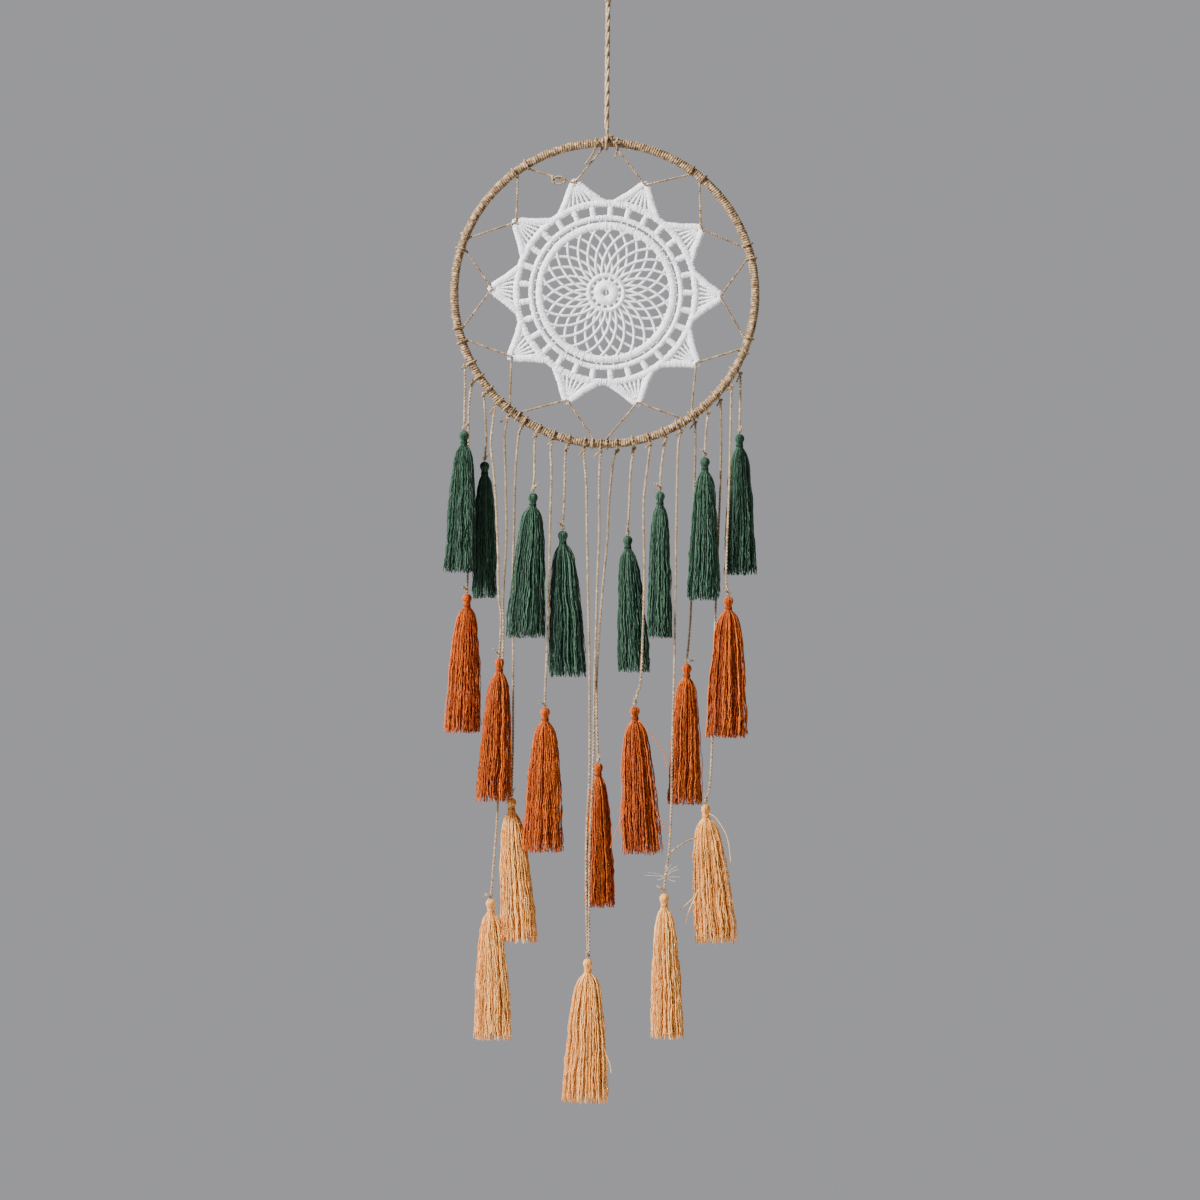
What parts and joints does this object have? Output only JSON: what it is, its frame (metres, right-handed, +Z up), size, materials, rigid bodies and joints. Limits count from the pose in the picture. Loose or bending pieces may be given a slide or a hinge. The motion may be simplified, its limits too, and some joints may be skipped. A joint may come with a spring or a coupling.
{
  "type": "dream catcher",
  "caption": "Wall-hanging dream catcher: a twine-wrapped wire hoop with a white lace star laced into it, and yarn tassels in three colours hanging on knotted strings from its lower rim.",
  "frame": {"origin": "where the top of the hanging loop rests on its nail or hook", "axes": "+Z up, along the hanging cord and the strings; +X to the viewer's right across the hoop; -Y towards the viewer, square to the hoop's plane"},
  "size_m": [0.203, 0.023, 0.7485],
  "materials": {
    "jute_cord": "dry twisted natural cord",
    "jute_wrap": "close-wound natural twine",
    "wire": "plain drawn steel wire",
    "lace": "matt white embroidered cotton",
    "green_yarn": "crinkled dark green yarn",
    "rust_yarn": "crinkled rust orange yarn",
    "cream_yarn": "crinkled pale peach yarn"
  },
  "bodies": {
    "hanger": {"hanging_loop": "jute_cord", "loop_knot": "jute_cord"},
    "tie": {"hanger_tie": "jute_cord"},
    "hoop": {"hoop_wire": "wire", "hoop_wrap": "jute_wrap", "lace_star": "lace", "lacing": "jute_cord", "lacing_ties": "jute_cord", "string_ties": "jute_cord"},
    "strand_green_1": {"string_green_1": "jute_cord"},
    "tassel_green_1": {"tassel_green_1": "green_yarn"},
    "strand_rust_1": {"string_rust_1": "jute_cord"},
    "tassel_rust_1": {"tassel_rust_1": "rust_yarn"},
    "strand_green_2": {"string_green_2": "jute_cord"},
    "tassel_green_2": {"tassel_green_2": "green_yarn"},
    "strand_rust_2": {"string_rust_2": "jute_cord"},
    "tassel_rust_2": {"tassel_rust_2": "rust_yarn"},
    "strand_cream_2": {"string_cream_2": "jute_cord"},
    "tassel_cream_2": {"tassel_cream_2": "cream_yarn"},
    "strand_cream_1": {"string_cream_1": "jute_cord"},
    "tassel_cream_1": {"tassel_cream_1": "cream_yarn"},
    "strand_green_3": {"string_green_3": "jute_cord"},
    "tassel_green_3": {"tassel_green_3": "green_yarn"},
    "strand_rust_3": {"string_rust_3": "jute_cord"},
    "tassel_rust_3": {"tassel_rust_3": "rust_yarn"},
    "strand_green_4": {"string_green_4": "jute_cord"},
    "tassel_green_4": {"tassel_green_4": "green_yarn"},
    "strand_cream_3": {"string_cream_3": "jute_cord", "string_cream_3_second": "jute_cord"},
    "tassel_cream_3": {"tassel_cream_3": "cream_yarn"},
    "strand_rust_4": {"string_rust_4": "jute_cord"},
    "tassel_rust_4": {"tassel_rust_4": "rust_yarn"},
    "strand_green_5": {"string_green_5": "jute_cord"},
    "tassel_green_5": {"tassel_green_5": "green_yarn"},
    "strand_rust_5": {"string_rust_5": "jute_cord"},
    "tassel_rust_5": {"tassel_rust_5": "rust_yarn"},
    "strand_green_6": {"string_green_6": "jute_cord"},
    "tassel_green_6": {"tassel_green_6": "green_yarn"},
    "strand_cream_4": {"string_cream_4": "jute_cord"},
    "tassel_cream_4": {"tassel_cream_4": "cream_yarn"},
    "strand_rust_6": {"string_rust_6": "jute_cord"},
    "tassel_rust_6": {"tassel_rust_6": "rust_yarn"},
    "strand_green_7": {"string_green_7": "jute_cord"},
    "tassel_green_7": {"tassel_green_7": "green_yarn"},
    "strand_cream_5": {"string_cream_5": "jute_cord"},
    "tassel_cream_5": {"tassel_cream_5": "cream_yarn"},
    "strand_rust_7": {"string_rust_7": "jute_cord"},
    "tassel_rust_7": {"tassel_rust_7": "rust_yarn"},
    "strand_green_8": {"string_green_8": "jute_cord"},
    "tassel_green_8": {"tassel_green_8": "green_yarn"}
  },
  "joints": [
    {"name": "hoop_twist", "type": "hinge", "parent": "hanger", "child": "tie", "pos_m": [-0.0007, 0, -0.11791], "axis": [0, 0, 1], "range_deg": [-180, 180]},
    {"name": "hoop_tilt", "type": "hinge", "parent": "tie", "child": "hoop", "pos_m": [-0.0007, 0, -0.12791], "axis": [-1, 0, 0], "range_deg": [-30, 30]},
    {"name": "swing_green_1", "type": "hinge", "parent": "hoop", "child": "strand_green_1", "pos_m": [-0.09212, -0.002, -0.27191], "axis": [-1, 0, 0], "range_deg": [0, 45]},
    {"name": "flop_green_1", "type": "hinge", "parent": "strand_green_1", "child": "tassel_green_1", "pos_m": [-0.09262, -0.005, -0.31191], "axis": [-1, 0, 0], "range_deg": [0, 45]},
    {"name": "swing_rust_1", "type": "hinge", "parent": "hoop", "child": "strand_rust_1", "pos_m": [-0.08662, 0.002, -0.28123], "axis": [-1, 0, 0], "range_deg": [-45, 0]},
    {"name": "flop_rust_1", "type": "hinge", "parent": "strand_rust_1", "child": "tassel_rust_1", "pos_m": [-0.09112, 0.005, -0.41673], "axis": [-1, 0, 0], "range_deg": [-45, 0]},
    {"name": "swing_green_2", "type": "hinge", "parent": "hoop", "child": "strand_green_2", "pos_m": [-0.08017, 0.002, -0.2899], "axis": [-1, 0, 0], "range_deg": [-45, 0]},
    {"name": "flop_green_2", "type": "hinge", "parent": "strand_green_2", "child": "tassel_green_2", "pos_m": [-0.07967, 0.005, -0.3314], "axis": [-1, 0, 0], "range_deg": [-45, 0]},
    {"name": "swing_rust_2", "type": "hinge", "parent": "hoop", "child": "strand_rust_2", "pos_m": [-0.07283, -0.002, -0.29784], "axis": [-1, 0, 0], "range_deg": [0, 45]},
    {"name": "flop_rust_2", "type": "hinge", "parent": "strand_rust_2", "child": "tassel_rust_2", "pos_m": [-0.06983, -0.005, -0.45834], "axis": [-1, 0, 0], "range_deg": [0, 45]},
    {"name": "swing_cream_2", "type": "hinge", "parent": "hoop", "child": "strand_cream_2", "pos_m": [-0.06469, 0.002, -0.30495], "axis": [-1, 0, 0], "range_deg": [-45, 0]},
    {"name": "flop_cream_2", "type": "hinge", "parent": "strand_cream_2", "child": "tassel_cream_2", "pos_m": [-0.07569, 0.005, -0.61395], "axis": [-1, 0, 0], "range_deg": [-45, 0]},
    {"name": "swing_cream_1", "type": "hinge", "parent": "hoop", "child": "strand_cream_1", "pos_m": [-0.05584, 0.002, -0.31116], "axis": [-1, 0, 0], "range_deg": [-45, 0]},
    {"name": "flop_cream_1", "type": "hinge", "parent": "strand_cream_1", "child": "tassel_cream_1", "pos_m": [-0.06234, 0.005, -0.54866], "axis": [-1, 0, 0], "range_deg": [-45, 0]},
    {"name": "swing_green_3", "type": "hinge", "parent": "hoop", "child": "strand_green_3", "pos_m": [-0.04638, -0.002, -0.31639], "axis": [-1, 0, 0], "range_deg": [0, 45]},
    {"name": "flop_green_3", "type": "hinge", "parent": "strand_green_3", "child": "tassel_green_3", "pos_m": [-0.04838, -0.00466, -0.3519], "axis": [-1, 0, 0], "range_deg": [0, 45]},
    {"name": "swing_rust_3", "type": "hinge", "parent": "hoop", "child": "strand_rust_3", "pos_m": [-0.03642, -0.002, -0.32059], "axis": [-1, 0, 0], "range_deg": [0, 45]},
    {"name": "flop_rust_3", "type": "hinge", "parent": "strand_rust_3", "child": "tassel_rust_3", "pos_m": [-0.04042, -0.005, -0.49009], "axis": [-1, 0, 0], "range_deg": [0, 45]},
    {"name": "swing_green_4", "type": "hinge", "parent": "hoop", "child": "strand_green_4", "pos_m": [-0.02606, 0, -0.32371], "axis": [-1, 0, 0], "range_deg": [-45, 45]},
    {"name": "flop_green_4", "type": "hinge", "parent": "strand_green_4", "child": "tassel_green_4", "pos_m": [-0.02906, 0, -0.37621], "axis": [-1, 0, 0], "range_deg": [-45, 45]},
    {"name": "swing_cream_3", "type": "hinge", "parent": "hoop", "child": "strand_cream_3", "pos_m": [-0.01544, -0.002, -0.32571], "axis": [-1, 0, 0], "range_deg": [0, 45]},
    {"name": "flop_cream_3", "type": "hinge", "parent": "strand_cream_3", "child": "tassel_cream_3", "pos_m": [-0.01294, -0.005, -0.65171], "axis": [-1, 0, 0], "range_deg": [0, 45]},
    {"name": "swing_rust_4", "type": "hinge", "parent": "hoop", "child": "strand_rust_4", "pos_m": [0.00615, 0.002, -0.32627], "axis": [-1, 0, 0], "range_deg": [-45, 0]},
    {"name": "flop_rust_4", "type": "hinge", "parent": "strand_rust_4", "child": "tassel_rust_4", "pos_m": [-0.00635, 0.005, -0.52627], "axis": [-1, 0, 0], "range_deg": [-45, 0]},
    {"name": "swing_green_5", "type": "hinge", "parent": "hoop", "child": "strand_green_5", "pos_m": [0.01686, 0.002, -0.32483], "axis": [-1, 0, 0], "range_deg": [-45, 0]},
    {"name": "flop_green_5", "type": "hinge", "parent": "strand_green_5", "child": "tassel_green_5", "pos_m": [0.01286, 0.005, -0.37933], "axis": [-1, 0, 0], "range_deg": [-45, 0]},
    {"name": "swing_rust_5", "type": "hinge", "parent": "hoop", "child": "strand_rust_5", "pos_m": [0.02737, -0.002, -0.32226], "axis": [-1, 0, 0], "range_deg": [0, 45]},
    {"name": "flop_rust_5", "type": "hinge", "parent": "strand_rust_5", "child": "tassel_rust_5", "pos_m": [0.01737, -0.005, -0.48926], "axis": [-1, 0, 0], "range_deg": [0, 45]},
    {"name": "swing_green_6", "type": "hinge", "parent": "hoop", "child": "strand_green_6", "pos_m": [0.03753, -0.002, -0.31859], "axis": [-1, 0, 0], "range_deg": [0, 45]},
    {"name": "flop_green_6", "type": "hinge", "parent": "strand_green_6", "child": "tassel_green_6", "pos_m": [0.03354, -0.00444, -0.35109], "axis": [-1, 0, 0], "range_deg": [0, 45]},
    {"name": "swing_cream_4", "type": "hinge", "parent": "hoop", "child": "strand_cream_4", "pos_m": [0.04726, -0.002, -0.31386], "axis": [-1, 0, 0], "range_deg": [0, 45]},
    {"name": "flop_cream_4", "type": "hinge", "parent": "strand_cream_4", "child": "tassel_cream_4", "pos_m": [0.03626, -0.005, -0.60986], "axis": [-1, 0, 0], "range_deg": [0, 45]},
    {"name": "swing_rust_6", "type": "hinge", "parent": "hoop", "child": "strand_rust_6", "pos_m": [0.05642, 0.002, -0.30812], "axis": [-1, 0, 0], "range_deg": [-45, 0]},
    {"name": "flop_rust_6", "type": "hinge", "parent": "strand_rust_6", "child": "tassel_rust_6", "pos_m": [0.05092, 0.005, -0.46212], "axis": [-1, 0, 0], "range_deg": [-45, 0]},
    {"name": "swing_green_7", "type": "hinge", "parent": "hoop", "child": "strand_green_7", "pos_m": [0.06492, -0.002, -0.30145], "axis": [-1, 0, 0], "range_deg": [0, 45]},
    {"name": "flop_green_7", "type": "hinge", "parent": "strand_green_7", "child": "tassel_green_7", "pos_m": [0.06242, -0.00406, -0.32894], "axis": [-1, 0, 0], "range_deg": [0, 45]},
    {"name": "swing_cream_5", "type": "hinge", "parent": "hoop", "child": "strand_cream_5", "pos_m": [0.07267, 0.002, -0.2939], "axis": [-1, 0, 0], "range_deg": [-45, 0]},
    {"name": "flop_cream_5", "type": "hinge", "parent": "strand_cream_5", "child": "tassel_cream_5", "pos_m": [0.06317, 0.005, -0.5529], "axis": [-1, 0, 0], "range_deg": [-45, 0]},
    {"name": "swing_rust_7", "type": "hinge", "parent": "hoop", "child": "strand_rust_7", "pos_m": [0.07957, -0.002, -0.28558], "axis": [-1, 0, 0], "range_deg": [0, 45]},
    {"name": "flop_rust_7", "type": "hinge", "parent": "strand_rust_7", "child": "tassel_rust_7", "pos_m": [0.07757, -0.005, -0.41858], "axis": [-1, 0, 0], "range_deg": [0, 45]},
    {"name": "swing_green_8", "type": "hinge", "parent": "hoop", "child": "strand_green_8", "pos_m": [0.08554, 0.002, -0.27657], "axis": [-1, 0, 0], "range_deg": [-45, 0]},
    {"name": "flop_green_8", "type": "hinge", "parent": "strand_green_8", "child": "tassel_green_8", "pos_m": [0.08504, 0.00477, -0.31357], "axis": [-1, 0, 0], "range_deg": [-45, 0]}
  ]
}
